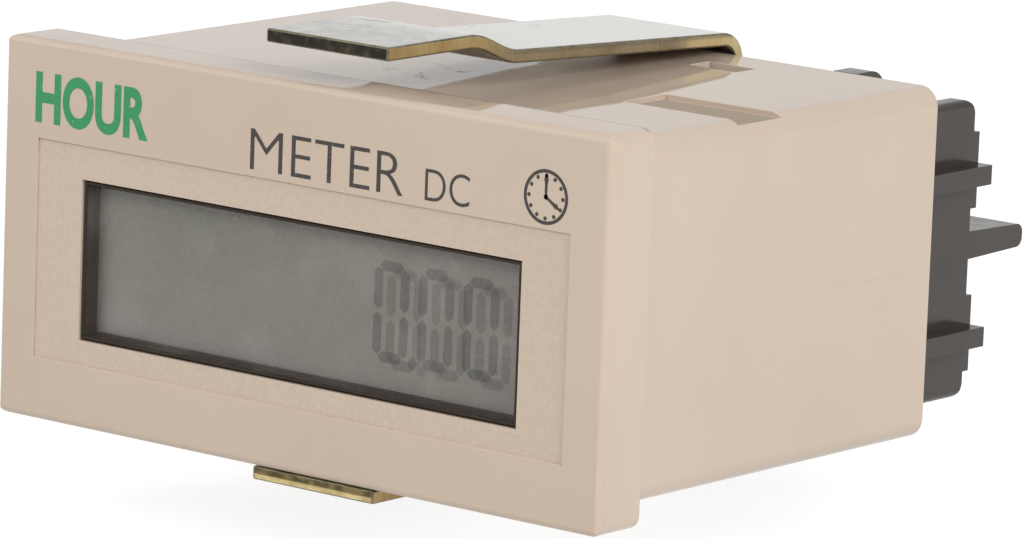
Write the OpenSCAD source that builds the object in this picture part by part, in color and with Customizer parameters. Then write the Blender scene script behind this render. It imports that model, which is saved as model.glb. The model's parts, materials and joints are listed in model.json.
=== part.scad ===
// Panel-mounting hour meter: a moulded case with a recessed liquid-crystal display, a lithium cell,
// two circuit boards, a rear block with four screw terminals, and two leaf clips of spring steel.
// The origin is the centre of the panel seat, which is the back face of the bezel.
// +X is right as seen from the front, +Y is towards the rear, +Z is up.

/* [Case] */
// Width of the case behind the bezel
case_w = 45; // [44.4:0.2:60]
// Height of the case behind the bezel
case_h = 22.2; // [22:0.1:30]
// Depth of the case behind the panel seat
case_depth = 30.6; // [30:0.2:40]
// Thickness of the case walls
wall = 1.6; // [1.2:0.1:1.7]
// Radius of the long edges of the case
case_r = 1.3; // [0.4:0.1:1.5]

/* [Bezel] */
// How far the bezel overhangs the case at each side
seat_w = 1.5; // [1:0.1:4]
// How far the bezel overhangs the case above and below
seat_h = 0.9; // [0.6:0.1:4]
// Thickness of the bezel, from the front face to the panel seat
bezel_t = 3.9; // [3.4:0.1:6]
// Radius of the front edges of the bezel
bezel_r = 0.6; // [0.2:0.1:1]
// Radius of the four corners of the bezel
bezel_corner_r = 0.9; // [0.4:0.1:2]
// Thickness of the front wall around the window
front_wall = 0.9; // [0.9:0.1:1.3]

/* [Window] */
// Width of the window opening
window_w = 34.8; // [28:0.1:35]
// Height of the window opening
window_h = 10.1; // [8:0.1:10.1]
// Distance of the window's centre below the bezel's centre
window_drop = 1.4; // [0:0.02:1.4]
// Width of the sunk grained field around the window
field_w = 42.1; // [37:0.1:44]
// Height of the sunk grained field
field_h = 13.8; // [12.4:0.1:16]
// Distance of the field's centre below the bezel's centre
field_drop = 1.1; // [0.5:0.1:1.5]
// Depth of the sunk field
field_depth = 0.15; // [0.1:0.05:0.3]

/* [Case features] */
// Length of the shallow recess on the top face, across the case
recess_l = 8.8; // [4:0.1:9]
// Width of the shallow recess, along the case
recess_w = 4.3; // [2:0.1:6]
// Distance of the recess behind the panel seat
recess_y = 10.7; // [6:0.1:14]
// Depth of the shallow recess
recess_depth = 0.35; // [0.1:0.05:0.6]
// Width of each window for a snap latch of the rear block
latch_w = 3.7; // [2:0.1:4]
// Length of each latch window
latch_l = 2.1; // [1.6:0.1:2.4]
// Distance of the latch windows from the middle of the case
latch_x = 9.05; // [9:0.05:11]

/* [Display] */
// Wall of the dark frame that lines the window
collar_t = 0.2; // [0.2:0.05:0.6]
// How far the frame's front edge lies behind the front face
collar_sunk = 0.3; // [0.2:0.05:0.5]
// Thickness of the frame's flange and side walls
frame_t = 0.4; // [0.4:0.05:0.6]
// Gap between the frame and the side walls of the case
frame_side = 0.9; // [0.5:0.1:1.5]
// Thickness of the clear lens
lens_t = 0.7; // [0.5:0.1:1]
// Width of the ledge that the lens rests on
lens_ledge = 0.15; // [0.15:0.05:0.5]
// How much wider that ledge is below the display
sill_h = 0.05; // [0:0.05:0.6]
// Thickness of the display glass
lcd_t = 2.4; // [1.6:0.1:3]
// How far the display glass reaches past the window above and below
lcd_border = 2.15; // [1.6:0.05:2.2]
// Thickness of the elastomer contact strips
strip_t = 1.8; // [1:0.1:2.2]
// Distance of the display board behind the display glass
strip_h = 3; // [2:0.1:4]
// Thickness of both circuit boards
board_t = 1.6; // [1:0.1:2]

/* [Cell] */
// Diameter of the lithium cell
cell_d = 14.5; // [10:0.5:14.5]
// Length of the lithium cell
cell_l = 25; // [20:0.5:25]
// Width of the cell's welded tabs
tab_w = 5; // [3:0.5:7]
// Thickness of the cell's welded tabs
tab_t = 0.3; // [0.2:0.05:0.5]

/* [Rear block] */
// Width of the block behind the case
block_w = 39; // [38.5:0.1:40]
// Height of the block behind the case
block_h = 19.15; // [19.1:0.05:21]
// How far the block reaches behind the case
block_reach = 8.35; // [8.3:0.05:12]
// Distance of the block's middle below the middle of the case
block_drop = 0.47; // [0:0.01:0.6]
// Radius of the block's rear upper and lower edges
block_r = 1; // [0.5:0.1:2.8]
// Radius of the four long edges of the block
block_edge_r = 0.5; // [0.2:0.1:2.8]
// How far the block's plug reaches into the case
plug_reach = 3.4; // [2.5:0.1:4]
// Height of the step around the terminals
pad_t = 0.6; // [0.3:0.1:1]
// Distance of the step's inner edge from the middle between the steps
pad_low = 2.8; // [2:0.1:3]
// Distance of the step's outer edge from the middle between the steps
pad_high = 7.7; // [6:0.1:7.8]
// Distance of the steps and rails below the middle of the block
step_drop = 0.25; // [0:0.05:0.3]
// How far the barrier shelf stands out of the block
shelf_reach = 5.9; // [3:0.1:8]
// Thickness of the barrier shelf at its root
shelf_root = 1.8; // [1.6:0.1:3]
// Thickness of the barrier shelf at its edge
shelf_tip = 1.5; // [1.4:0.1:2]
// Distance of the shelf above the middle of the block
shelf_rise = 0.2; // [0:0.05:0.3]
// Distance of the rails on the block's ends from the middle between them
rail_z = 5.2; // [4:0.1:6]
// Height of the rails on the block's ends
rail_h = 1.25; // [1:0.05:2]
// How far the rails stand out of the block's ends
rail_reach = 1.5; // [0.5:0.1:1.7]
// Thickness of the barrier fins beside the terminals
fin_t = 1.8; // [1:0.1:2]
// How far the fins stand out of the block
fin_reach = 2.7; // [1:0.1:3.5]
// Height of the fins across both rows
fin_h = 20.1; // [19:0.1:21]
// Radius of the fins' rear corners
fin_r = 1.5; // [0.5:0.1:2]

/* [Terminals] */
// Distance between the terminals of a row
terminal_pitch = 28.8; // [28.6:0.1:29.2]
// Distance of each terminal row from the middle of the block
terminal_z = 6; // [5.8:0.1:6.2]
// Width of a terminal well
well_w = 7.6; // [7.2:0.1:7.8]
// Depth of a terminal well below the block's rear face
well_depth = 4.6; // [4.5:0.1:5]
// Distance of a well's inner side from the middle of the block
well_z = 2.2; // [1.8:0.1:2.4]
// Diameter of the terminal screws
screw_d = 3; // [2.5:0.1:3.5]
// Diameter of the screw heads
head_d = 5.6; // [5:0.1:6]
// Height of the screw heads
head_h = 1.9; // [1.6:0.1:2.2]
// Thickness of the clamp plates
plate_t = 1; // [0.8:0.1:1.2]
// Thickness of the tapped lugs
lug_t = 1.2; // [1:0.1:1.4]
// Height of the lugs and clamp plates
lug_h = 6.4; // [6:0.1:6.6]

/* [Clips] */
// Width of the leaf clips
clip_w = 9.6; // [6:0.1:11]
// Thickness of the clip steel
clip_t = 0.85; // [0.6:0.05:1]
// Distance of the clips to the right of the middle
clip_x = 1.7; // [0:0.1:2]
// How far the front lip reaches forward of the panel seat
lip_reach = 3.5; // [0:0.1:3.6]
// Distance of the lip's rear end behind the panel seat
lip_end = 4.3; // [2:0.1:5]
// Distance behind the panel seat at which the bend meets the leaf
dip_y = 9.3; // [7:0.1:14]
// Gap between the upper leaf's tail and the case
upper_gap = 0.6; // [0.6:0.05:1.4]
// Fall of the upper clip's leaf from its front to its tail
upper_fall = 1; // [0:0.05:1.2]
// Gap between the upper clip's lip and the bezel
upper_lip_gap = 2.05; // [1.2:0.05:3]
// Gap between the lower leaf and the case, pressed in
lower_gap = 0.35; // [0.3:0.05:0.6]
// Gap between the lower clip's lip and the bezel, pressed in
lower_lip_gap = 0.05; // [0.05:0.05:0.5]
// Radius of the bend at the clip's tail
tail_r = 1.7; // [0.8:0.1:2]

/* [Fits] */
// Gap between fixed pieces that seat on each other
seat_gap = 0.05; // [0.02:0.01:0.1]
// Gap around fixed pieces that drop into a pocket
pocket_gap = 0.2; // [0.1:0.05:0.3]
// Radial gap between a screw and its tapped lug
thread_gap = 0.05; // [0.02:0.01:0.1]
// Gap between pieces that move past each other
move_gap = 0.3; // [0.2:0.05:0.4]
// Gap between the clip's hook and the rear edge of the case
hook_gap = 0.4; // [0.35:0.05:0.5]

/* [Hidden] */
$fn = 48;

// overlap that makes a cut run clear of a face
cut = 1;

// housing
bezel_w = case_w + 2 * seat_w;
bezel_h = case_h + 2 * seat_h;
front_y = -bezel_t;
inner_w = case_w - 2 * wall;
inner_h = case_h - 2 * wall;
inner_y = front_y + front_wall;
top_z = case_h / 2;
recess_margin = 0.5;

// display stack, from the front wall to the rear
window_z = -window_drop;
collar_w = window_w - pocket_gap;
collar_h = window_h - pocket_gap;
flange_y = inner_y + seat_gap;
frame_w = inner_w - 2 * frame_side;
lcd_w = frame_w - 2 * (pocket_gap + frame_t);
lcd_h = window_h + 2 * lcd_border;
lcd_y = flange_y + frame_t + seat_gap;
strip_y = lcd_y + lcd_t + seat_gap;
board_y = strip_y + strip_h + seat_gap;
board_back = board_y + board_t;
frame_h = lcd_h + 2 * (pocket_gap + frame_t);
lens_seat_y = flange_y + frame_t / 3;
strip_margin = 1;

// cell and its tabs
cell_gap = 0.4;
cell_nub = 0.6;
cell_y = board_back + cell_gap + cell_d / 2;
// middle of the room beside the cell
side_x = (cell_l + inner_w) / 4;

// rear block, wells and input board
block_y = case_depth + seat_gap;
block_back = block_y + block_reach;
block_z = -block_drop;
plug_y = case_depth - plug_reach;
plug_w = inner_w - 2 * pocket_gap;
plug_h = inner_h - 2 * pocket_gap;
well_y = block_back - well_depth;
block_floor = 1.6;
block_shell = 2;
well_side = 0.1;
fin_x = terminal_pitch / 2 - well_w / 2 - well_side - fin_t / 2;
latch_lap = 0.1;
latch_y = plug_y - latch_l + latch_lap;
barb_rise = wall * 0.65;
input_gap = 3;
input_margin = 1.1;
input_back = plug_y - input_gap;
input_y = input_back - board_t;

// terminals
lug_y = well_y + seat_gap;
plate_y = lug_y + lug_t + move_gap;
head_y = plate_y + plate_t + 2 * seat_gap;
lug_w = well_w - 4 * pocket_gap;
pin_w = 1.2;
pin_h = 0.8;
pin_z = terminal_z - lug_h / 2 + pin_h / 2;
pin_sunk = 0.2;
pin_hole_r = 0.9;
screw_tip_y = well_y - block_floor;
// terminal positions: upper left, upper right, lower left, lower right
TERMINALS = [for (row = [1, -1]) for (side = [-1, 1]) [side * terminal_pitch / 2, row]];

// clips
upper_rise = seat_h + upper_lip_gap - upper_gap - upper_fall;
lower_rise = seat_h + lower_lip_gap - lower_gap;
hook_y = case_depth + hook_gap + clip_t / 2;
hook_end_z = top_z - wall;
hook_room = 0.45;

cream = [0.80, 0.73, 0.65];
dark = [0.20, 0.18, 0.16];
black = [0.16, 0.15, 0.14];
green = [0.16, 0.38, 0.20];
steel = [0.78, 0.76, 0.68];
gold = [0.80, 0.66, 0.36];

// Box between two opposite corners
module box(low, high) {
    translate(low) cube(high - low);
}

// Rectangle with four round corners
module rounded_rect(w, h, r) {
    square([w - 2 * r, h], center = true);
    square([w, h - 2 * r], center = true);
    for (x = [-1, 1], y = [-1, 1])
        translate([x * (w / 2 - r), y * (h / 2 - r)]) circle(r);
}

// Rectangle from x = 0 to x = d whose two far corners are round
module far_rounded(d, h, r) {
    translate([0, -h / 2]) square([d - r, h]);
    translate([0, -h / 2 + r]) square([d, h - 2 * r]);
    for (y = [-1, 1])
        translate([d - r, y * (h / 2 - r)]) circle(r);
}

// Outline in X and Z, run along +Y
module run_y(y, length) {
    translate([0, y, 0]) rotate([-90, 0, 0]) linear_extrude(length) children();
}

// Outline whose x is Y and whose y is Z, run along X and centred on it
module run_x(width) {
    rotate([90, 0, 90]) linear_extrude(width, center = true) children();
}

// Bezel with all its front edges and corners rounded
module bezel() {
    intersection() {
        run_y(front_y, bezel_t) rounded_rect(bezel_w, bezel_h, bezel_corner_r);
        run_x(bezel_w + cut) mirror([1, 0]) far_rounded(bezel_t, bezel_h, bezel_r);
        rotate([0, 0, -90]) linear_extrude(bezel_h + cut, center = true)
            far_rounded(bezel_t, bezel_w, bezel_r);
    }
}

// Openings in the case roof and floor for the block's snap latches
module latch_windows() {
    for (x = [-1, 1], z = [-1, 1])
        translate([x * latch_x, latch_y + latch_l / 2, z * (top_z - wall / 2)])
            cube([latch_w, latch_l, wall + cut], center = true);
}

module housing() {
    color(cream) difference() {
        union() {
            bezel();
            run_y(-cut, case_depth + cut) rounded_rect(case_w, case_h, case_r);
        }
        run_y(inner_y, case_depth - inner_y + cut) rounded_rect(inner_w, inner_h, case_r / 2);
        translate([0, front_y, window_z]) cube([window_w, 4 * front_wall, window_h], center = true);
        translate([0, front_y, -field_drop]) cube([field_w, 2 * field_depth, field_h], center = true);
        box([case_w / 2 - recess_margin - recess_l, recess_y, top_z - recess_depth],
            [case_w / 2 - recess_margin, recess_y + recess_w, top_z + cut]);
        latch_windows();
    }
}

module display_frame() {
    lens_w = collar_w - 2 * collar_t;
    lens_h = collar_h - 2 * collar_t;
    color(dark) translate([0, 0, window_z]) difference() {
        union() {
            run_y(front_y + collar_sunk, flange_y - front_y - collar_sunk + frame_t)
                square([collar_w, collar_h], center = true);
            run_y(flange_y, board_y - seat_gap - flange_y) square([frame_w, frame_h], center = true);
        }
        run_y(front_y, lens_seat_y - front_y) square([lens_w, lens_h], center = true);
        translate([0, 0, sill_h / 2]) run_y(front_y, bezel_t)
            square([lens_w - 2 * lens_ledge, lens_h - 2 * lens_ledge - sill_h], center = true);
        run_y(flange_y + frame_t, board_y - flange_y)
            square([lcd_w + 2 * pocket_gap, lcd_h + 2 * pocket_gap], center = true);
    }
}

module display_lens() {
    rim = collar_t + seat_gap;
    color([0.85, 0.88, 0.88, 0.4]) translate([0, 0, window_z])
        run_y(lens_seat_y - seat_gap - lens_t, lens_t)
            square([collar_w - 2 * rim, collar_h - 2 * rim], center = true);
}

// Front glass with the rear glass set back at the upper and lower contact edges
module lcd_cell() {
    color([0.55, 0.56, 0.52]) translate([0, 0, window_z]) {
        run_y(lcd_y, lcd_t / 2) square([lcd_w, lcd_h], center = true);
        run_y(lcd_y + lcd_t / 2, lcd_t / 2) square([lcd_w, lcd_h - 2 * strip_t], center = true);
    }
}

module contact_strip(side) {
    color([0.55, 0.35, 0.45])
        translate([0, 0, window_z + side * (lcd_h - strip_t + seat_gap) / 2])
            run_y(lcd_y + lcd_t / 2 + seat_gap, board_y - lcd_y - lcd_t / 2 - 2 * seat_gap)
                square([lcd_w - 2 * strip_margin, strip_t - seat_gap], center = true);
}

module upper_contact_strip() {
    contact_strip(1);
}

module lower_contact_strip() {
    contact_strip(-1);
}

module display_board() {
    color(green) run_y(board_y, board_t)
        square([inner_w - 2 * pocket_gap, inner_h - 2 * pocket_gap], center = true);
}

// Flat package with leads on four sides, on the front of the display board
module controller_chip() {
    body = 7;
    body_t = 1.4;
    lead = 1;
    lead_w = 0.3;
    lead_t = 0.2;
    lead_pitch = 0.65;
    leads = 9;
    chip_y = board_y - seat_gap;
    color(black) translate([0, chip_y, window_z]) {
        translate([-body / 2, -body_t, -body / 2]) cube([body, body_t - lead_t / 2, body]);
        for (turn = [0:90:270], i = [0:leads - 1])
            rotate([0, turn, 0])
                translate([(i - (leads - 1) / 2) * lead_pitch - lead_w / 2, -lead_t, body / 2 - lead_w])
                    cube([lead_w, lead_t, lead + lead_w]);
    }
}

// Small can on the rear of the display board, lying on its side
module crystal() {
    can_d = 3;
    can_l = 6;
    lead_d = 0.4;
    lead_l = 2;
    lead_x = 0.6;
    color(steel) translate([-side_x, board_back + seat_gap + can_d / 2, -can_l / 2]) {
        cylinder(d = can_d, h = can_l);
        for (x = [-lead_x, lead_x])
            translate([x, 0, -lead_l]) cylinder(d = lead_d, h = lead_l + cut);
    }
}

module lithium_cell() {
    shoulder = 0.8;
    color([0.75, 0.72, 0.30]) translate([0, cell_y, 0]) rotate([0, 90, 0]) {
        translate([0, 0, -cell_l / 2]) cylinder(d = cell_d, h = cell_l - cell_nub - shoulder);
        translate([0, 0, -cell_l / 2]) cylinder(d = cell_d - 2 * shoulder, h = cell_l - cell_nub);
        translate([0, 0, -cell_l / 2]) cylinder(d = cell_d / 3, h = cell_l);
    }
}

// Strip that is welded to one end of the cell and stands on the display board
module cell_tab(side) {
    x = side * (cell_l / 2 + seat_gap + tab_t / 2);
    color(steel) translate([x, 0, 0])
        box([-tab_t / 2, board_back + seat_gap, -tab_w / 2], [tab_t / 2, cell_y + cell_d / 4, tab_w / 2]);
}

module positive_tab() {
    cell_tab(1);
}

module negative_tab() {
    cell_tab(-1);
}

module input_board() {
    color(green) difference() {
        run_y(input_y, board_t)
            square([inner_w - 2 * input_margin, inner_h - 2 * input_margin], center = true);
        for (t = TERMINALS)
            translate([t[0], input_y - cut, block_z + t[1] * pin_z]) rotate([-90, 0, 0])
                cylinder(r = pin_hole_r, h = board_t + 2 * cut);
    }
}

// Four pins in a moulded bar, below the cell
module link_header() {
    pins = 4;
    pitch = 2.54;
    pin = 0.64;
    bar_t = 2.5;
    z = -(cell_d / 2 + inner_h / 2) / 2;
    color(gold) for (i = [0:pins - 1])
        translate([(i - (pins - 1) / 2) * pitch - pin / 2, board_back + seat_gap, z - pin / 2])
            cube([pin, input_y - board_back - 2 * seat_gap, pin]);
    color(black) translate([-pins * pitch / 2, input_y - seat_gap - bar_t, z - pitch / 4])
        cube([pins * pitch, bar_t, pitch / 2]);
}

// Moulded package that stands on the front of the input board on four legs
module board_package(w, h, t) {
    stand = 0.4;
    leg = 0.5;
    leg_x = w / 2 - leg;
    leg_z = h / 2 - leg;
    color(black) box([-w / 2, -stand - t, -h / 2], [w / 2, -stand, h / 2]);
    color(steel) for (x = [-1, 1], z = [-1, 1])
        translate([x * leg_x, -stand / 2 - seat_gap / 2, z * leg_z])
            cube([leg, stand - seat_gap, leg], center = true);
}

module optocoupler() {
    body_w = 4.6;
    body_h = 6.4;
    body_t = 3.4;
    translate([side_x, input_y, inner_h / 4]) board_package(body_w, body_h, body_t);
}

module rectifier() {
    body_w = 6;
    body_h = 6.4;
    body_t = 3.2;
    translate([-side_x, input_y, inner_h / 4]) board_package(body_w, body_h, body_t);
}

module smoothing_capacitor() {
    can_d = 6.3;
    can_l = 8;
    sleeve = 0.5;
    color([0.18, 0.20, 0.32])
        translate([-side_x, input_y - seat_gap, -inner_h / 4]) rotate([90, 0, 0]) {
            cylinder(d = can_d, h = can_l);
            cylinder(d = can_d - 2 * sleeve, h = can_l + sleeve);
        }
}

module dropper_resistor() {
    body_d = 2.4;
    body_l = 6;
    lead_d = 0.6;
    lead_span = 8;
    stand = body_d / 2 + move_gap;
    color([0.72, 0.62, 0.45]) translate([side_x, input_y - stand, -inner_h / 4]) {
        cylinder(d = body_d, h = body_l, center = true);
        cylinder(d = lead_d, h = lead_span + lead_d, center = true);
        for (z = [-1, 1])
            translate([0, 0, z * lead_span / 2]) rotate([-90, 0, 0])
                cylinder(d = lead_d, h = stand - seat_gap);
    }
}

// Barrier between the two terminal rows, tapered to a rounded edge
module shelf_outline() {
    r = shelf_tip * 0.4;
    polygon([[-cut, -shelf_root / 2], [0, -shelf_root / 2], [shelf_reach - r, -shelf_tip / 2],
        [shelf_reach, -shelf_tip / 2 + r], [shelf_reach, shelf_tip / 2 - r],
        [shelf_reach - r, shelf_tip / 2], [0, shelf_root / 2], [-cut, shelf_root / 2]]);
    for (y = [-1, 1])
        translate([shelf_reach - r, y * (shelf_tip / 2 - r)]) circle(r);
}

// Snap arms that reach forward under the case roof and over the floor
module block_latches() {
    arm_t = 1;
    arm_w = latch_w - 2 * pocket_gap;
    arm_y = latch_y + pocket_gap;
    for (x = [-1, 1], z = [0, 1]) mirror([0, 0, z])
        translate([x * latch_x - arm_w / 2, 0, 0]) {
            box([0, arm_y, plug_h / 2 - arm_t], [arm_w, plug_y + cut, plug_h / 2]);
            box([0, arm_y, plug_h / 2 - arm_t],
                [arm_w, latch_y + latch_l - pocket_gap, inner_h / 2 + barb_rise]);
        }
}

// Part of the block behind the case, about its own middle
module block_body() {
    intersection() {
        translate([0, block_y, 0]) run_x(block_w) far_rounded(block_reach, block_h, block_r);
        run_y(block_y, block_reach) rounded_rect(block_w, block_h, block_edge_r);
    }
    translate([0, 0, -step_drop]) for (z = [-1, 1]) {
        translate([0, block_back, z * (pad_low + pad_high) / 2])
            cube([block_w, 2 * pad_t, pad_high - pad_low], center = true);
        translate([0, block_y + block_reach / 2, z * rail_z])
            cube([block_w + 2 * rail_reach, block_reach, rail_h], center = true);
    }
    translate([0, block_back, shelf_rise]) run_x(block_w) shelf_outline();
    for (x = [-1, 1])
        translate([x * fin_x, block_back - cut / 2, 0])
            run_x(fin_t) far_rounded(fin_reach + cut / 2, fin_h, fin_r);
}

// Room for one terminal: its well, the screw's tip and the pin to the input board
module terminal_room(t) {
    translate([t[0], 0, 0]) mirror([0, 0, t[1] < 0 ? 1 : 0]) {
        box([-well_w / 2, well_y, well_z], [well_w / 2, block_back + pad_t + cut, block_h]);
        translate([0, well_y - block_floor - cut, terminal_z]) rotate([-90, 0, 0])
            cylinder(d = screw_d + 2 * move_gap, h = block_floor + 2 * cut);
        box([-pin_w / 2 - pocket_gap, well_y - block_floor - cut, pin_z - pin_h / 2 - pocket_gap],
            [pin_w / 2 + pocket_gap, well_y + cut, pin_z + pin_h / 2 + pocket_gap]);
    }
}

module terminal_block() {
    neck_w = min(plug_w, block_w) - 2 * block_edge_r;
    neck_top = min(plug_h / 2, block_h / 2 + block_z);
    neck_low = max(-plug_h / 2, -block_h / 2 + block_z);
    color(black) difference() {
        union() {
            translate([0, 0, block_z]) block_body();
            run_y(plug_y, plug_reach) rounded_rect(plug_w, plug_h, case_r / 2);
            box([-neck_w / 2, case_depth - cut, neck_low], [neck_w / 2, case_depth + cut, neck_top]);
            block_latches();
        }
        run_y(plug_y - cut, well_y - block_floor - plug_y + cut)
            square([plug_w - 2 * block_shell, plug_h - 2 * block_shell], center = true);
        translate([0, 0, block_z]) for (t = TERMINALS) terminal_room(t);
        for (z = [0, 1]) mirror([0, 0, z])
            box([clip_x - clip_w / 2 - hook_room, block_y - cut, hook_end_z - 2 * hook_room],
                [clip_x + clip_w / 2 + hook_room, hook_y + clip_t / 2 + 2 * hook_room, block_h]);
    }
}

// Tapped plate on the floor of each well, with a pin to the input board
module terminal_lugs() {
    color(gold) for (t = TERMINALS) translate([t[0], 0, block_z]) mirror([0, 0, t[1] < 0 ? 1 : 0]) {
        difference() {
            box([-lug_w / 2, lug_y, terminal_z - lug_h / 2],
                [lug_w / 2, lug_y + lug_t, terminal_z + lug_h / 2]);
            translate([0, lug_y - cut, terminal_z]) rotate([-90, 0, 0])
                cylinder(r = screw_d / 2 + thread_gap, h = lug_t + 2 * cut);
        }
        box([-pin_w / 2, input_y + pin_sunk, pin_z - pin_h / 2],
            [pin_w / 2, lug_y + lug_t / 2, pin_z + pin_h / 2]);
    }
}

// Square clamp plate under a screw head, grooved where it grips the wire
module clamp_plate(t) {
    groove = 0.3;
    groove_l = 1.5;
    color(steel) translate([t[0], plate_y, block_z + t[1] * terminal_z]) difference() {
        box([-lug_w / 2, 0, -lug_h / 2], [lug_w / 2, plate_t, lug_h / 2]);
        translate([0, -cut, 0]) rotate([-90, 0, 0])
            cylinder(r = screw_d / 2 + thread_gap, h = plate_t + 2 * cut);
        for (x = [-1, 1], i = [-1, 0, 1])
            translate([x * lug_w / 2, 0, i * lug_h / 4]) rotate([45, 0, 0])
                cube([2 * groove_l, groove, groove], center = true);
    }
}

// Pan-head screw with a cross recess
module terminal_screw(t) {
    slot_w = 0.9;
    slot_l = 3.4;
    slot_depth = 1.2;
    rim = 0.5;
    color(steel) translate([t[0], 0, block_z + t[1] * terminal_z]) difference() {
        union() {
            translate([0, head_y, 0]) rotate([-90, 0, 0]) rotate_extrude() intersection() {
                square([head_d / 2, head_h]);
                union() {
                    square([head_d / 2 - rim, head_h]);
                    square([head_d / 2, head_h - rim]);
                    translate([head_d / 2 - rim, head_h - rim]) circle(rim);
                }
            }
            translate([0, screw_tip_y, 0]) rotate([-90, 0, 0])
                cylinder(d = screw_d, h = head_y - screw_tip_y + cut / 2);
        }
        for (turn = [0, 90])
            translate([0, head_y + head_h, 0]) rotate([0, turn, 0])
                cube([slot_l, 2 * slot_depth, slot_w], center = true);
    }
}

module clamp_plate_1() {
    clamp_plate(TERMINALS[0]);
}

module clamp_plate_2() {
    clamp_plate(TERMINALS[1]);
}

module clamp_plate_3() {
    clamp_plate(TERMINALS[2]);
}

module clamp_plate_4() {
    clamp_plate(TERMINALS[3]);
}

module terminal_screw_1() {
    terminal_screw(TERMINALS[0]);
}

module terminal_screw_2() {
    terminal_screw(TERMINALS[1]);
}

module terminal_screw_3() {
    terminal_screw(TERMINALS[2]);
}

module terminal_screw_4() {
    terminal_screw(TERMINALS[3]);
}

// Middle line of a clip in Y and Z: a raised lip, an S-bend down to the leaf, and a tail that turns down
function clip_line(gap, rise, fall) =
    let (leaf_z = top_z + gap + clip_t / 2, tail_z = leaf_z - tail_r, dip_z = leaf_z + fall,
        bend = 12, tail = 8)
    concat(
        [[-lip_reach, dip_z + rise]],
        [for (i = [0:bend]) let (a = i / bend)
            [lip_end + (dip_y - lip_end) * a, dip_z + rise * (1 + cos(180 * a)) / 2]],
        [for (i = [0:tail]) let (a = 90 * i / tail)
            [hook_y - tail_r + tail_r * sin(a), tail_z + tail_r * cos(a)]],
        [[hook_y, hook_end_z]]);

// Direction of a line at one of its points
function heading(line, i) =
    let (step = line[min(i + 1, len(line) - 1)] - line[max(i - 1, 0)])
    step / norm(step);

// Points of a line shifted sideways, to its left where the shift is positive
function beside(line, shift) =
    [for (i = [0:len(line) - 1]) let (d = heading(line, i)) line[i] + shift * [-d[1], d[0]]];

module clip(gap, rise, fall) {
    line = clip_line(gap, rise, fall);
    right_side = beside(line, -clip_t / 2);
    last = len(line) - 1;
    color(steel) translate([clip_x, 0, 0]) run_x(clip_w)
        polygon(concat(beside(line, clip_t / 2), [for (i = [0:last]) right_side[last - i]]));
}

module top_clip() {
    clip(upper_gap, upper_rise, upper_fall);
}

module bottom_clip() {
    mirror([0, 0, 1]) clip(lower_gap, lower_rise, 0);
}

housing();
display_frame();
display_lens();
lcd_cell();
upper_contact_strip();
lower_contact_strip();
display_board();
controller_chip();
crystal();
lithium_cell();
positive_tab();
negative_tab();
input_board();
link_header();
optocoupler();
rectifier();
smoothing_capacitor();
dropper_resistor();
terminal_block();
terminal_lugs();
clamp_plate_1();
clamp_plate_2();
clamp_plate_3();
clamp_plate_4();
terminal_screw_1();
terminal_screw_2();
terminal_screw_3();
terminal_screw_4();
top_clip();
bottom_clip();
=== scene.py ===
import bpy
import bmesh
import json
import math
from mathutils import Matrix, Vector


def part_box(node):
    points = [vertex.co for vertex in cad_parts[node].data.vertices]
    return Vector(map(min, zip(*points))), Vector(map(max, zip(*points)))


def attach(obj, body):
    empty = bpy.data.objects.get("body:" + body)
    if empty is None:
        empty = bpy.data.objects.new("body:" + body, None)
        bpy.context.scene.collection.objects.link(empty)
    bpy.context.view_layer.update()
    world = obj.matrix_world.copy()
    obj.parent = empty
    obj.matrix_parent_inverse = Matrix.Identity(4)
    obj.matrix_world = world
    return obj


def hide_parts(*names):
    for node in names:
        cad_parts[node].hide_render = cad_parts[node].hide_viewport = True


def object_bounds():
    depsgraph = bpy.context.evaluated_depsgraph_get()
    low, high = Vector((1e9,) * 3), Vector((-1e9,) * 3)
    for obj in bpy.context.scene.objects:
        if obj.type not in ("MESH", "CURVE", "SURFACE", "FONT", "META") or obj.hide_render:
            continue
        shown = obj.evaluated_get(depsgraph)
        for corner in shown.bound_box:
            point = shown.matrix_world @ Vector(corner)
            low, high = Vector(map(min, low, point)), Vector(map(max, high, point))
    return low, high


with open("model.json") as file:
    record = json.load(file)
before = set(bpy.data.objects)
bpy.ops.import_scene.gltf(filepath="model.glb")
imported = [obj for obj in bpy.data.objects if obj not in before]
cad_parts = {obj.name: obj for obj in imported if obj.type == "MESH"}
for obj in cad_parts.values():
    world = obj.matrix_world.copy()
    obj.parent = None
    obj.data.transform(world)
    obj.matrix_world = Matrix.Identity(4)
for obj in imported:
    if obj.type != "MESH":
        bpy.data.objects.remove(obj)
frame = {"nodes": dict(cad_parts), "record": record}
cad_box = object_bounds()
nodes = frame["nodes"]
scene = bpy.context.scene
MM = 0.001
FRONT = -3.9
TERMINAL_X = 14.4
TERMINAL_Z = 6.0
BLOCK_DROP = 0.47
TERMINALS = ((-1, 1), (1, 1), (-1, -1), (1, -1))
BODY = {n: b for b, members in frame["record"]["behaviour"]["bodies"].items() for n in members}


# Camera at the photograph's viewing angle
def make_camera():
    data = bpy.data.cameras.new("camera")
    data.sensor_fit = "HORIZONTAL"
    data.sensor_width = 36
    data.lens = 7138.73 / 1024 * 36
    data.clip_start = 0.01
    data.clip_end = 10
    right = Vector((0.77802, 0.62711, 0.0375))
    up = Vector((-0.14521, 0.12143, 0.98192))
    back = Vector((0.61122, -0.7694, 0.18554))
    turn = Matrix((right, up, back)).transposed().to_4x4()
    ob = bpy.data.objects.new("camera", data)
    ob.matrix_world = Matrix.Translation(Vector((273.09, -326.51, 80.91)) * MM) @ turn
    scene.collection.objects.link(ob)
    scene.camera = ob


make_camera()


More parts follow.
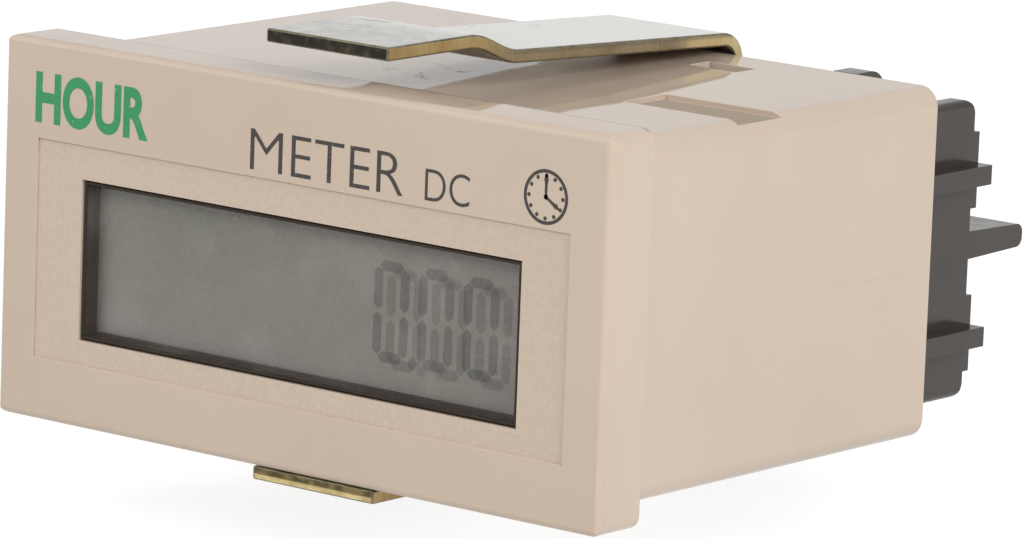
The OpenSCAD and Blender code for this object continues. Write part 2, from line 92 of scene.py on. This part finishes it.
# Node graph of one material, with short names for the steps used below
class Paint:
    def __init__(self, name):
        self.material = bpy.data.materials.new(name)
        self.material.use_nodes = True
        self.tree = self.material.node_tree
        self.shader = self.tree.nodes["Principled BSDF"]
        self.place = self.add("ShaderNodeTexCoord").outputs["Object"]
        self.parts = None

    def add(self, kind, **values):
        node = self.tree.nodes.new(kind)
        for key, value in values.items():
            setattr(node, key, value)
        return node

    def join(self, value, socket):
        if hasattr(value, "is_output"):
            self.tree.links.new(value, socket)
        else:
            socket.default_value = value

    def axis(self, letter):
        if self.parts is None:
            node = self.add("ShaderNodeSeparateXYZ")
            self.join(self.place, node.inputs[0])
            self.parts = node.outputs
        return self.parts["XYZ".index(letter)]

    def stretched(self, x, y, z):
        node = self.add("ShaderNodeVectorMath", operation="MULTIPLY")
        self.join(self.place, node.inputs[0])
        self.join((x, y, z), node.inputs[1])
        return node.outputs[0]

    def noise(self, scale, detail=3.0, where=None):
        node = self.add("ShaderNodeTexNoise")
        self.join(where if where is not None else self.place, node.inputs["Vector"])
        node.inputs["Scale"].default_value = scale
        node.inputs["Detail"].default_value = detail
        return node.outputs[0]

    def math(self, operation, a, b=0.0, clamp=False):
        node = self.add("ShaderNodeMath", operation=operation, use_clamp=clamp)
        self.join(a, node.inputs[0])
        self.join(b, node.inputs[1])
        return node.outputs[0]

    def span(self, value, low, high, start=0.0, end=1.0):
        node = self.add("ShaderNodeMapRange", interpolation_type="SMOOTHSTEP")
        for i, v in enumerate((value, low, high, start, end)):
            self.join(v, node.inputs[i])
        return node.outputs[0]

    def mix(self, factor, a, b):
        node = self.add("ShaderNodeMix", data_type="RGBA")
        self.join(factor, node.inputs[0])
        for value, socket in ((a, node.inputs[6]), (b, node.inputs[7])):
            self.join(value if hasattr(value, "is_output") else (*value, 1.0), socket)
        return node.outputs[2]

    # 1 inside the given ranges in millimetres and 0 outside, with soft sides
    def within(self, soft=0.05, **ranges):
        result = None
        for letter, (low, high) in ranges.items():
            value = self.axis(letter)
            rise = self.span(value, (low - soft) * MM, (low + soft) * MM)
            fall = self.span(value, (high - soft) * MM, (high + soft) * MM, 1.0, 0.0)
            both = self.math("MULTIPLY", rise, fall)
            result = both if result is None else self.math("MULTIPLY", result, both)
        return result

    def bump(self, height, strength, distance):
        node = self.add("ShaderNodeBump")
        node.inputs["Strength"].default_value = strength
        node.inputs["Distance"].default_value = distance * MM
        self.join(height, node.inputs["Height"])
        if self.shader.inputs["Normal"].is_linked:
            self.join(self.shader.inputs["Normal"].links[0].from_socket, node.inputs["Normal"])
        self.join(node.outputs[0], self.shader.inputs["Normal"])

    def colour(self, value):
        self.join(value, self.shader.inputs["Base Color"])

    def rough(self, value):
        self.join(value, self.shader.inputs["Roughness"])

    def set(self, **values):
        for key, value in values.items():
            self.shader.inputs[key.replace("_", " ")].default_value = value


# Even surface with a slow change of tone and a fine grain
def grained(name, low, high, rough, grain=6000, depth=0.02, strength=0.25, patch=180, **values):
    p = Paint(name)
    p.colour(p.mix(p.span(p.noise(patch, 4), 0.3, 0.7), low, high))
    p.rough(p.span(p.noise(grain / 6, 3), 0.3, 0.7, rough - 0.05, rough + 0.05))
    p.bump(p.noise(grain, 2), strength, depth)
    p.set(**values)
    return p


# Cream moulding: glossy shell, finely grained field around the window, mould line on the sides, and a
# painted shade line along the bezel's rear top edge
def cream_plastic():
    p = Paint("cream_plastic")
    tone = p.mix(p.span(p.noise(70, 4), 0.3, 0.7), (0.560, 0.458, 0.368), (0.585, 0.482, 0.390))
    field = p.within(X=(-21.05, 21.05), Y=(-3.8, -3.7), Z=(-8.0, 5.8))
    grain = p.span(p.noise(5200, 3), 0.35, 0.65)
    tone = p.mix(field, tone, p.mix(grain, (0.555, 0.452, 0.362), (0.592, 0.490, 0.398)))
    off = p.math("ABSOLUTE", p.math("ADD", p.axis("Z"), 0.22 * MM))
    side = p.span(p.math("ABSOLUTE", p.axis("X")), 22.3 * MM, 22.45 * MM)
    along = p.math("MULTIPLY", side, p.span(p.axis("Y"), 4 * MM, 20 * MM))
    seam = p.math("MULTIPLY", p.span(off, 0.0, 0.07 * MM, 1.0, 0.0), along)
    tone = p.mix(p.math("MULTIPLY", seam, 0.3), tone, (0.46, 0.375, 0.30))
    # Painted shade: a thin dark line along the bezel's rear top edge, where the bezel steps down to the roof
    edge = p.within(soft=0.1, Y=(-0.30, 0.2), Z=(11.8, 12.1))
    tone = p.mix(p.math("MULTIPLY", edge, 0.65), tone, (0.30, 0.25, 0.20))
    dirty = p.within(soft=1.5, X=(-4.5, 1.5), Y=(7.0, 13.5), Z=(11.0, 11.2))
    specks = p.math("MULTIPLY", p.span(p.noise(1500, 2), 0.60, 0.64), dirty)
    p.colour(p.mix(p.math("MULTIPLY", specks, 0.9), tone, (0.06, 0.05, 0.04)))
    front = p.span(p.axis("Y"), -3.6 * MM, -3.2 * MM, 1.0, 0.0)
    base = p.span(p.noise(700, 3), 0.3, 0.7, 0.03, 0.06)
    matt = p.math("MAXIMUM", p.math("MULTIPLY", front, 0.35), p.math("MULTIPLY", specks, 0.8))
    p.rough(p.math("ADD", base, matt))
    p.bump(p.math("MULTIPLY", p.noise(5200, 2), front), 0.04, 0.012)
    p.bump(p.math("MULTIPLY", p.noise(6200, 3), field), 0.22, 0.05)
    p.bump(seam, 0.2, 0.03)
    p.set(Specular_IOR_Level=0.5, Subsurface_Weight=0.03, Subsurface_Scale=0.001)
    p.set(Subsurface_Radius=(1.0, 0.7, 0.5))
    return p.material


# Plated strip: streaked along its length, duller at the lip, with small spots and smudges
def plated_strip():
    p = Paint("plated_strip")
    streak = p.noise(1.0, 4, p.stretched(5200, 260, 2600))
    tone = p.mix(p.span(streak, 0.35, 0.65), (0.80, 0.79, 0.74), (0.88, 0.87, 0.82))
    lip = p.span(p.axis("Y"), 1 * MM, 6 * MM, 1.0, 0.0)
    dull = p.mix(p.span(p.noise(900, 4), 0.35, 0.65), (0.42, 0.41, 0.37), (0.58, 0.57, 0.53))
    tone = p.mix(p.math("MULTIPLY", lip, 0.8), tone, dull)
    spots = p.math("MULTIPLY", p.span(p.noise(1500, 3), 0.63, 0.70), p.span(p.noise(220, 2), 0.48, 0.62))
    smudge = p.span(p.noise(1.0, 3, p.stretched(300, 1100, 300)), 0.62, 0.74)
    smudge = p.math("MULTIPLY", smudge, p.span(p.axis("Y"), 4 * MM, 9 * MM, 0.6, 0.1))
    worn = p.math("MAXIMUM", p.math("MULTIPLY", spots, 0.7), smudge)
    p.colour(p.mix(worn, tone, (0.27, 0.25, 0.16)))
    p.rough(p.math("ADD", p.span(streak, 0.3, 0.7, 0.16, 0.26), p.math("MULTIPLY", worn, 0.25)))
    p.bump(streak, 0.06, 0.02)
    p.set(Metallic=1.0)
    return p.material


# Long cut sides of the strip: gold at the lip, browner along the leaf, brightest at the tail
def sheared_side():
    p = Paint("sheared_side")
    lines = p.noise(1.0, 4, p.stretched(300, 5200, 420))
    patch = p.span(p.noise(420, 3), 0.35, 0.65)
    lip = p.mix(patch, (0.36, 0.235, 0.095), (0.44, 0.33, 0.15))
    leaf = p.mix(patch, (0.25, 0.185, 0.105), (0.31, 0.24, 0.145))
    tail = p.mix(patch, (0.50, 0.385, 0.185), (0.58, 0.465, 0.25))
    tone = p.mix(p.span(p.axis("Y"), 4.5 * MM, 8.5 * MM), lip, leaf)
    tone = p.mix(p.span(p.axis("Y"), 24.5 * MM, 27 * MM), tone, tail)
    slope = p.math("MULTIPLY", p.axis("Y"), 1.0 / 20.3)
    above = p.span(p.math("ADD", p.axis("Z"), slope), 13.63 * MM, 13.85 * MM)
    above = p.math("MULTIPLY", above, p.span(p.axis("Y"), 7 * MM, 10 * MM, 0.0, 0.55))
    tone = p.mix(above, tone, (0.13, 0.112, 0.078))
    tone = p.mix(p.span(lines, 0.52, 0.72, 0.0, 0.5), tone, (0.18, 0.13, 0.07))
    p.colour(p.mix(p.span(lines, 0.20, 0.40, 0.35, 0.0), tone, (0.58, 0.46, 0.25)))
    p.rough(p.span(lines, 0.3, 0.7, 0.34, 0.48))
    p.bump(lines, 0.25, 0.04)
    p.set(Metallic=0.75)
    return p.material


# Rolled-over edges of the strip: dull olive
def rolled_edge():
    p = Paint("rolled_edge")
    lines = p.noise(1.0, 4, p.stretched(900, 1500, 900))
    p.colour(p.mix(p.span(lines, 0.35, 0.65), (0.105, 0.092, 0.055), (0.215, 0.195, 0.130)))
    p.rough(p.span(lines, 0.3, 0.7, 0.35, 0.5))
    p.bump(lines, 0.2, 0.03)
    p.set(Metallic=0.6)
    return p.material


# Short cut ends of the strip: nearly black and rough
def sheared_end():
    p = Paint("sheared_end")
    lines = p.noise(1.0, 4, p.stretched(1500, 900, 1500))
    p.colour(p.mix(p.span(lines, 0.45, 0.75), (0.016, 0.014, 0.009), (0.070, 0.060, 0.036)))
    p.rough(p.span(lines, 0.3, 0.7, 0.5, 0.7))
    p.bump(lines, 0.4, 0.06)
    p.set(Metallic=0.3, Specular_IOR_Level=0.25)
    return p.material


# Cut front of the lower strip: yellow, with an olive upper half
def sheared_front():
    p = Paint("sheared_front")
    lines = p.noise(1.0, 4, p.stretched(900, 900, 1500))
    tone = p.mix(p.span(lines, 0.35, 0.65), (0.46, 0.36, 0.15), (0.66, 0.56, 0.30))
    half = p.span(p.math("ADD", p.axis("Z"), p.math("MULTIPLY", lines, 0.12 * MM)), -12.52 * MM, -12.38 * MM)
    p.colour(p.mix(half, tone, p.mix(p.span(lines, 0.4, 0.6), (0.075, 0.055, 0.020), (0.20, 0.15, 0.060))))
    p.rough(p.span(lines, 0.3, 0.7, 0.35, 0.5))
    p.bump(lines, 0.3, 0.04)
    p.set(Metallic=0.6)
    return p.material


# Display glass: grey, with slow green and lilac casts, a painted reflection that makes it paler at its left
# end, and paler towards its lower edge
def display_glass():
    p = Paint("display_glass")
    tone = p.mix(p.span(p.noise(75, 2), 0.35, 0.65), (0.163, 0.163, 0.134), (0.186, 0.169, 0.150))
    # Painted reflection: a paler patch at the left end, strongest low down
    end = p.span(p.axis("X"), -19 * MM, -8 * MM, 0.6, 0.0)
    painted_reflection = p.math("MULTIPLY", end, p.span(p.axis("Z"), -8 * MM, 2 * MM, 1.0, 0.2))
    tone = p.mix(painted_reflection, tone, (0.235, 0.214, 0.204))
    low = p.span(p.axis("Z"), -6.5 * MM, -3.5 * MM, 0.4, 0.0)
    p.colour(p.mix(low, tone, (0.215, 0.202, 0.188)))
    p.rough(p.span(p.noise(900, 3), 0.3, 0.7, 0.25, 0.32))
    return p.material


# Clear plate over the display, with a thin film of dust
def clear_plate():
    p = Paint("clear_plate")
    dust = p.span(p.noise(260, 3), 0.4, 0.75)
    p.colour(p.mix(dust, (0.62, 0.62, 0.60), (0.75, 0.73, 0.70)))
    p.rough(p.span(p.noise(500, 3), 0.3, 0.7, 0.06, 0.14))
    p.join(p.span(dust, 0.0, 1.0, 0.02, 0.05), p.shader.inputs["Alpha"])
    p.set(IOR=1.49)
    return p.material


# Sunk place on the roof: matt, with a fine grain, and a darker tone than the shell's that is painted shade
def sunk_place():
    p = Paint("sunk_place")
    # Painted shade: a darker tone than the shell's, though the floor is the same cream plastic
    p.colour(p.mix(p.noise(900, 4), (0.380, 0.314, 0.250), (0.424, 0.350, 0.284)))
    p.rough(p.span(p.noise(1400, 3), 0.3, 0.7, 0.75, 0.9))
    p.bump(p.noise(5200, 3), 0.2, 0.03)
    p.set(Specular_IOR_Level=0.12)
    return p.material


# Display segments, not energised, seen as slightly darker than the glass
def faint_segment(name, tone, alpha):
    p = Paint(name)
    p.colour(p.mix(p.span(p.noise(700, 3), 0.3, 0.7), tone, tuple(c * 1.12 for c in tone)))
    p.rough(p.span(p.noise(900, 2), 0.3, 0.7, 0.35, 0.5))
    p.join(p.span(p.noise(520, 3), 0.3, 0.7, alpha * 0.8, alpha), p.shader.inputs["Alpha"])
    return p.material


# Screen print with worn pin-holes in its tone
def ink(name, tone, worn):
    p = Paint(name)
    holes = p.span(p.noise(4200, 3), 0.66, 0.74)
    p.colour(p.mix(holes, p.mix(p.noise(600, 3), tone, tuple(c * 1.15 for c in tone)), worn))
    p.rough(p.span(p.noise(1500, 2), 0.3, 0.7, 0.40, 0.55))
    p.bump(p.noise(5200, 2), 0.15, 0.01)
    return p.material


# Circuit board: masked copper tracks under a green coat
def circuit_board():
    p = Paint("circuit_board")
    node = p.add("ShaderNodeTexBrick", offset=0.5)
    turned = p.add("ShaderNodeCombineXYZ")
    p.join(p.axis("X"), turned.inputs[0])
    p.join(p.axis("Z"), turned.inputs[1])
    p.join(turned.outputs[0], node.inputs["Vector"])
    node.inputs["Scale"].default_value = 420
    node.inputs["Mortar Size"].default_value = 0.03
    tracks = node.outputs["Fac"]
    mask = p.mix(p.noise(300, 3), (0.012, 0.085, 0.030), (0.018, 0.105, 0.038))
    p.colour(p.mix(tracks, mask, (0.05, 0.20, 0.07)))
    p.rough(p.span(p.noise(1200, 2), 0.3, 0.7, 0.30, 0.42))
    p.bump(tracks, 0.4, 0.03)
    return p.material


# Rolled or turned metal with fine lines
def worked_metal(name, low, high, rough, x=700, y=4200, z=700):
    p = Paint(name)
    lines = p.noise(1.0, 4, p.stretched(x, y, z))
    p.colour(p.mix(p.span(lines, 0.3, 0.7), low, high))
    p.rough(p.span(lines, 0.3, 0.7, rough - 0.06, rough + 0.08))
    p.bump(lines, 0.2, 0.02)
    p.set(Metallic=1.0)
    return p.material


# Shrink sleeve with a printed band near each end
def sleeve(name, low, high, band, ends):
    p = Paint(name)
    tone = p.mix(p.span(p.noise(250, 3), 0.3, 0.7), low, high)
    p.colour(p.mix(p.within(X=ends), tone, band))
    p.rough(p.span(p.noise(900, 2), 0.3, 0.7, 0.22, 0.34))
    p.bump(p.noise(1400, 2), 0.1, 0.03)
    return p.material


M = {
    "cream": cream_plastic(),
    "sunk": sunk_place(),
    "strip": plated_strip(),
    "side": sheared_side(),
    "rim": rolled_edge(),
    "end": sheared_end(),
    "front": sheared_front(),
    "glass": display_glass(),
    "lens": clear_plate(),
    "segment": faint_segment("segment", (0.085, 0.092, 0.090), 0.36),
    "ghost": faint_segment("segment_shadow", (0.105, 0.112, 0.104), 0.23),
    "black_ink": ink("black_ink", (0.030, 0.026, 0.024), (0.22, 0.18, 0.15)),
    "green_ink": ink("green_ink", (0.020, 0.245, 0.085), (0.22, 0.40, 0.24)),
    "dark": grained("dark_frame", (0.026, 0.018, 0.013), (0.036, 0.026, 0.019), 0.55, strength=0.05,
                    Specular_IOR_Level=0.2).material,
    "black": grained("black_block", (0.024, 0.017, 0.012), (0.033, 0.024, 0.018), 0.20, 5200, 0.02,
                     0.05).material,
    "rubber": grained("contact_rubber", (0.24, 0.10, 0.14), (0.30, 0.13, 0.18), 0.6).material,
    "board": circuit_board(),
    "epoxy": grained("black_epoxy", (0.012, 0.012, 0.012), (0.022, 0.021, 0.020), 0.5).material,
    "tin": worked_metal("tinned_steel", (0.56, 0.55, 0.51), (0.74, 0.73, 0.69), 0.30),
    "brass": worked_metal("brass", (0.56, 0.40, 0.16), (0.72, 0.54, 0.25), 0.32),
    "cell": sleeve("cell_sleeve", (0.50, 0.46, 0.05), (0.58, 0.53, 0.08), (0.02, 0.02, 0.02), (9.5, 11.0)),
    "can": sleeve("capacitor_sleeve", (0.020, 0.030, 0.080), (0.030, 0.040, 0.11), (0.45, 0.46, 0.48),
                  (-18.6, -17.6)),
    "resistor": sleeve("resistor_body", (0.45, 0.33, 0.17), (0.52, 0.39, 0.21), (0.30, 0.05, 0.02),
                       (14.0, 14.2)),
}
PLAIN = {"display_lens": "lens", "lcd_cell": "glass", "upper_contact_strip": "rubber",
         "lower_contact_strip": "rubber", "display_board": "board", "controller_chip": "epoxy",
         "crystal": "tin", "lithium_cell": "cell", "positive_tab": "tin", "negative_tab": "tin",
         "input_board": "board", "link_header": "brass", "optocoupler": "epoxy", "rectifier": "epoxy",
         "smoothing_capacitor": "can", "dropper_resistor": "resistor"}
for name, key in PLAIN.items():
    nodes[name].data.materials.clear()
    nodes[name].data.materials.append(M[key])


def piece(name, mesh, body, slot, *keys):
    ob = bpy.data.objects.new(name, mesh)
    scene.collection.objects.link(ob)
    for key in keys:
        mesh.materials.append(M[key])
    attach(ob, body)
    return ob


# Mesh that a temporary object gives with its modifiers or text outlines worked out
def settled(ob):
    graph = bpy.context.evaluated_depsgraph_get()
    graph.update()
    mesh = bpy.data.meshes.new_from_object(ob.evaluated_get(graph))
    bpy.data.objects.remove(ob)
    return mesh


# Copy of a solid with its sharp edges broken, which stands for the solid
def dressed(node, width, slot, *keys, segments=2, angle=32, chooser=None):
    mesh = nodes[node].data.copy()
    mesh.materials.clear()
    work = bmesh.new()
    work.from_mesh(mesh)
    bmesh.ops.remove_doubles(work, verts=work.verts, dist=1e-6)
    bmesh.ops.dissolve_limit(work, angle_limit=math.radians(0.4), verts=work.verts, edges=work.edges)
    for f in work.faces:
        f.smooth = True
    work.to_mesh(mesh)
    work.free()
    for attribute in [a for a in mesh.attributes if a.name == "custom_normal"]:
        mesh.attributes.remove(attribute)
    ob = bpy.data.objects.new("work", mesh)
    scene.collection.objects.link(ob)
    edge = ob.modifiers.new("edge", "BEVEL")
    edge.width = width * MM
    edge.segments = segments
    edge.limit_method = "ANGLE"
    edge.angle_limit = math.radians(angle)
    edge.harden_normals = True
    done = settled(ob)
    done.materials.clear()
    if chooser:
        for face in done.polygons:
            face.material_index = chooser(face)
    ob = piece(node + "_dressed", done, BODY[node], slot, *keys)
    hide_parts(node)
    return ob


LIP_FRONT = -3.2
HOOK_END = 9.7
SUNK_FLOOR = (10.6, 10.9)


# The clip's plated faces, long cut sides, rolled edges and short cut ends
def clip_face(face):
    n, c = face.normal, face.center
    if abs(n.x) > 0.93:
        return 1
    if abs(n.x) > 0.15:
        return 2
    if c.y < LIP_FRONT * MM and n.y < -0.15:
        return 3 if n.y < -0.9 else 2
    return 3 if abs(c.z) < HOOK_END * MM and abs(n.z) > 0.75 else 0


# The moulding's shell and the floor of the sunk place on its roof
def shell_face(face):
    low, high = (z * MM for z in SUNK_FLOOR)
    c = face.center
    return 1 if face.normal.z > 0.9 and low < c.z < high and c.y > 0 else 0


dressed("housing", 0.13, "cream_plastic", "cream", "sunk", segments=3, chooser=shell_face)
dressed("display_frame", 0.06, "dark_plastic", "dark")
dressed("terminal_block", 0.25, "black_plastic", "black", segments=3)
dressed("terminal_lugs", 0.08, "brass", "brass")
for k in range(1, 5):
    dressed("clamp_plate_%d" % k, 0.1, "tinned_steel", "tin")
    dressed("terminal_screw_%d" % k, 0.07, "tinned_steel", "tin")
for node, tip in (("top_clip", "end"), ("bottom_clip", "front")):
    dressed(node, 0.16, "spring_steel", "strip", "side", "rim", tip, segments=4, angle=50, chooser=clip_face)


# Flat print from closed outlines in X and Z, standing a hair proud of the bezel's front
def printed(name, outlines, key, y=FRONT, proud=0.012):
    work = bmesh.new()
    for outline in outlines:
        front = [work.verts.new((x * MM, (y - proud) * MM, z * MM)) for x, z in outline]
        rear = [work.verts.new((x * MM, y * MM, z * MM)) for x, z in outline]
        work.faces.new(front)
        for i in range(len(outline)):
            j = (i + 1) % len(outline)
            work.faces.new((front[j], front[i], rear[i], rear[j]))
    bmesh.ops.recalc_face_normals(work, faces=work.faces)
    mesh = bpy.data.meshes.new(name)
    work.to_mesh(mesh)
    work.free()
    return piece(name, mesh, "case", "dark_plastic", key)


# Point at a radius from a centre, at a step of a full turn clockwise from the top
def around(cx, cz, r, step, count):
    a = 2 * math.pi * step / count
    return cx + r * math.sin(a), cz + r * math.cos(a)


def ring(cx, cz, outer, inner, count=64):
    corners = ((inner, 0), (outer, 0), (outer, 1), (inner, 1))
    return [[around(cx, cz, r, i + k, count) for r, k in corners] for i in range(count)]


def disc(cx, cz, r, count=16):
    return [around(cx, cz, r, i, count) for i in range(count)]


# Bar from a centre outwards, at an angle clockwise from the top
def hand(cx, cz, angle, start, end, width, tip):
    a = math.radians(angle)
    along, across = (math.sin(a), math.cos(a)), (math.cos(a), -math.sin(a))
    corners = ((start, -width), (end, -tip), (end, tip), (start, width))
    return [(cx + d * along[0] + w * across[0], cz + d * along[1] + w * across[1]) for d, w in corners]


# Clock sign at the bezel's upper right
CLOCK = (19.13, 7.74)
sign = ring(*CLOCK, 1.65, 1.44)
for hour in range(12):
    sign.append(disc(*around(*CLOCK, 1.27, hour, 12), 0.125))
for angle, reach in ((0, 1.40), (122, 1.18)):
    sign.append(hand(*CLOCK, angle, -0.12, 0.62 * reach, 0.085, 0.10))
    sign.append(hand(*CLOCK, angle, 0.60 * reach, 0.74 * reach, 0.10, 0.17))
    sign.append(hand(*CLOCK, angle, 0.74 * reach, reach, 0.17, 0.05))
sign.append(disc(*CLOCK, 0.16))
printed("clock_sign", sign, "black_ink")


# Words set with the built-in letters, fitted to a box in X and Z
def words(name, body, x0, x1, z0, z1, key, y, proud, heavy=0.0, rear=False):
    curve = bpy.data.curves.new(name, "FONT")
    curve.body = body
    curve.size = 1.0
    curve.offset = heavy
    curve.resolution_u = 6
    curve.extrude = 0.5
    ob = bpy.data.objects.new(name, curve)
    scene.collection.objects.link(ob)
    mesh = settled(ob)
    low = [min(v.co[i] for v in mesh.vertices) for i in range(3)]
    high = [max(v.co[i] for v in mesh.vertices) for i in range(3)]
    for v in mesh.vertices:
        u, w, d = ((v.co[i] - low[i]) / (high[i] - low[i]) for i in range(3))
        along = x1 + (x0 - x1) * u if rear else x0 + (x1 - x0) * u
        v.co = Vector((along, y + proud * d if rear else y - proud * d, z0 + (z1 - z0) * w)) * MM
    mesh.materials.clear()
    return piece(name, mesh, "case", "black_plastic" if rear else "dark_plastic", key)


words("word_left", "HOUR", -21.3, -12.0, 6.75, 10.0, "green_ink", FRONT, 0.012, heavy=0.035)
words("word_middle", "METER", -3.7, 8.3, 6.25, 8.75, "black_ink", FRONT, 0.012, heavy=-0.012)
words("word_right", "DC", 10.0, 13.4, 6.25, 8.2, "black_ink", FRONT, 0.012, heavy=-0.010)
for k, (sx, sz) in enumerate(TERMINALS, 1):
    cx, cz = 6.6 * sx, 5.25 * sz - 0.72
    words("terminal_number_%d" % k, str(k), cx - 0.65, cx + 0.65, cz - 1.1, cz + 1.1, "black", 39.59, 0.2,
          rear=True)

# Seven-segment figures on the display glass, and the shadows they cast on its rear reflector
LCD_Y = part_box("lcd_cell")[0][1] / MM


def bar(x0, z0, x1, z1, half):
    dx, dz = x1 - x0, z1 - z0
    length = math.hypot(dx, dz)
    dx, dz = dx / length, dz / length
    cap = half * 0.8
    far = length - cap
    corners = ((0, 0), (cap, half), (far, half), (length, 0), (far, -half), (cap, -half))
    return [(x0 + dx * a - dz * b, z0 + dz * a + dx * b) for a, b in corners]


def figure(x, low, high, width, half):
    mid = (low + high) / 2
    g = 0.10
    left, right = x, x + width
    return [bar(left + g, high, right - g, high, half), bar(left + g, low, right - g, low, half),
            bar(left, mid + g, left, high - g, half), bar(right, mid + g, right, high - g, half),
            bar(left, low + g, left, mid - g, half), bar(right, low + g, right, mid - g, half)]


real, shade = [], []
for k in range(3):
    x = 5.55 + 3.46 * k
    real += figure(x, -4.0, 1.55, 2.05, 0.33)
    shade += figure(x + 1.02, -4.35, 1.2, 2.05, 0.33)
real.append(disc(8.35, -4.1, 0.33))
shade.append(disc(9.0, -4.45, 0.33))
printed("display_shadows", shade, "ghost", LCD_Y, 0.006)
printed("display_figures", real, "segment", LCD_Y - 0.008, 0.006)


# Screw thread: one ridge wound round the shank
def thread(name, cx, cz, start, end, root, crest, pitch, body, steps=28):
    work = bmesh.new()
    turns = (end - start) / pitch
    count = int(turns * steps)
    rows = []
    for i in range(count + 1):
        a = 2 * math.pi * i / steps
        y = start + (end - start) * i / count
        fade = min(1.0, i / steps, (count - i) / steps)
        ridge = root + (crest - root) * fade
        row = []
        for r, dy in ((root, -0.22), (ridge, -0.03), (ridge, 0.03), (root, 0.22)):
            spot = Vector((cx + r * math.cos(a), y + dy * pitch * 2, cz - r * math.sin(a)))
            row.append(work.verts.new(spot * MM))
        rows.append(row)
    for p, q in zip(rows, rows[1:]):
        for i in range(3):
            work.faces.new((p[i], p[i + 1], q[i + 1], q[i]))
    work.faces.new(rows[0])
    work.faces.new(rows[-1])
    bmesh.ops.recalc_face_normals(work, faces=work.faces)
    mesh = bpy.data.meshes.new(name)
    work.to_mesh(mesh)
    work.free()
    return piece(name, mesh, body, "tinned_steel", "tin")


for k, (sx, sz) in enumerate(TERMINALS, 1):
    thread("screw_thread_%d" % k, TERMINAL_X * sx, TERMINAL_Z * sz - BLOCK_DROP, 33.1, 36.7, 1.49, 1.535,
           0.5, "screw_%d" % k)


# 1 for rays that show a thing by sight, by reflection or through glass, and 0 for the light it gives
def seen_rays(tree):
    path = tree.nodes.new("ShaderNodeLightPath")
    seen = path.outputs["Is Camera Ray"]
    for name in ("Is Glossy Ray", "Is Transmission Ray"):
        step = tree.nodes.new("ShaderNodeMath")
        step.operation = "MAXIMUM"
        tree.links.new(seen, step.inputs[0])
        tree.links.new(path.outputs[name], step.inputs[1])
        seen = step.outputs[0]
    return seen


# Floor and light. The floor lies low enough for the lower clip to swing down
FLOOR_DROP = 5.2


def stage():
    low = cad_box[0][2] - FLOOR_DROP * MM
    bpy.ops.mesh.primitive_plane_add(size=6, location=(0, 0, low))
    floor = bpy.context.object
    floor.name = "floor"
    material = bpy.data.materials.new("floor")
    material.use_nodes = True
    tree = material.node_tree
    tree.nodes.clear()
    seen = seen_rays(tree)
    plain = tree.nodes.new("ShaderNodeBsdfDiffuse")
    plain.inputs["Color"].default_value = (0.80, 0.79, 0.78, 1)
    shown = tree.nodes.new("ShaderNodeBsdfDiffuse")
    shown.inputs["Color"].default_value = (0.28, 0.28, 0.28, 1)
    white = tree.nodes.new("ShaderNodeEmission")
    white.inputs["Strength"].default_value = 0.86
    both = tree.nodes.new("ShaderNodeAddShader")
    tree.links.new(shown.outputs[0], both.inputs[0])
    tree.links.new(white.outputs[0], both.inputs[1])
    mix = tree.nodes.new("ShaderNodeMixShader")
    tree.links.new(seen, mix.inputs[0])
    tree.links.new(plain.outputs[0], mix.inputs[1])
    tree.links.new(both.outputs[0], mix.inputs[2])
    out = tree.nodes.new("ShaderNodeOutputMaterial")
    tree.links.new(mix.outputs[0], out.inputs[0])
    floor.data.materials.append(material)

    world = bpy.data.worlds.new("studio")
    scene.world = world
    world.use_nodes = True
    tree = world.node_tree
    tree.nodes.clear()
    seen = seen_rays(tree)
    soft = tree.nodes.new("ShaderNodeBackground")
    soft.inputs["Color"].default_value = (1.0, 0.985, 0.965, 1)
    soft.inputs["Strength"].default_value = 0.43
    white = tree.nodes.new("ShaderNodeBackground")
    white.inputs["Strength"].default_value = 1.0
    mix = tree.nodes.new("ShaderNodeMixShader")
    tree.links.new(seen, mix.inputs[0])
    tree.links.new(soft.outputs[0], mix.inputs[1])
    tree.links.new(white.outputs[0], mix.inputs[2])
    out = tree.nodes.new("ShaderNodeOutputWorld")
    tree.links.new(mix.outputs[0], out.inputs[0])


def lamp(name, place, target, size, power, tone=(1, 1, 1)):
    data = bpy.data.lights.new(name, "AREA")
    data.shape = "DISK"
    data.size = size
    data.energy = power
    data.color = tone
    ob = bpy.data.objects.new(name, data)
    ob.location = place
    ob.rotation_euler = (Vector(target) - Vector(place)).to_track_quat("-Z", "Y").to_euler()
    scene.collection.objects.link(ob)


stage()
lamp("right_light", (0.75, -0.15, 0.45), (0, 0.015, 0), 0.5, 5.2, (1.0, 0.985, 0.975))
lamp("front_light", (-0.35, -0.75, 0.55), (0, 0.0, 0), 0.4, 3.6, (1.0, 0.985, 0.97))
scene.view_settings.view_transform = "Standard"
